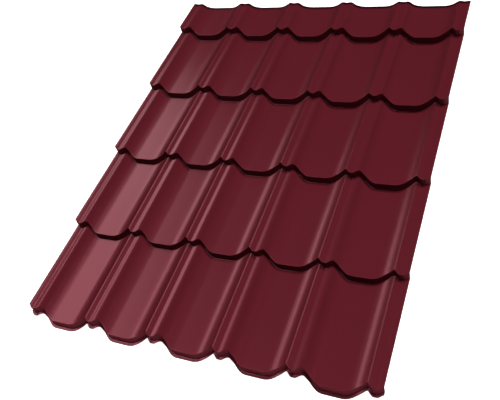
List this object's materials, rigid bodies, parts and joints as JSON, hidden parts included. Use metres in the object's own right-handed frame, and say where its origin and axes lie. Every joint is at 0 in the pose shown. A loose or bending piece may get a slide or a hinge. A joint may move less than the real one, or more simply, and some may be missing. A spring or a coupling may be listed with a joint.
{
  "type": "tile effect metal roofing sheet",
  "caption": "Pressed coated steel roofing sheet with a wavy tile profile, stepped courses and a straight ridge cut.",
  "frame": {"origin": "on the floor, under the middle of the sheet's bounding box", "axes": "+X across the sheet, from the rim that begins with a narrow flange to the rim that ends in a full crest; +Y up the roof slope, from the eave to the ridge; +Z out of the roof"},
  "size_m": [1.1964, 1.614, 0.0515],
  "materials": {
    "coated_steel": "gloss wine red polyester coat on the top face, grey back coat"
  },
  "bodies": {
    "root": {"roofing_sheet": "coated_steel"}
  },
  "joints": []
}
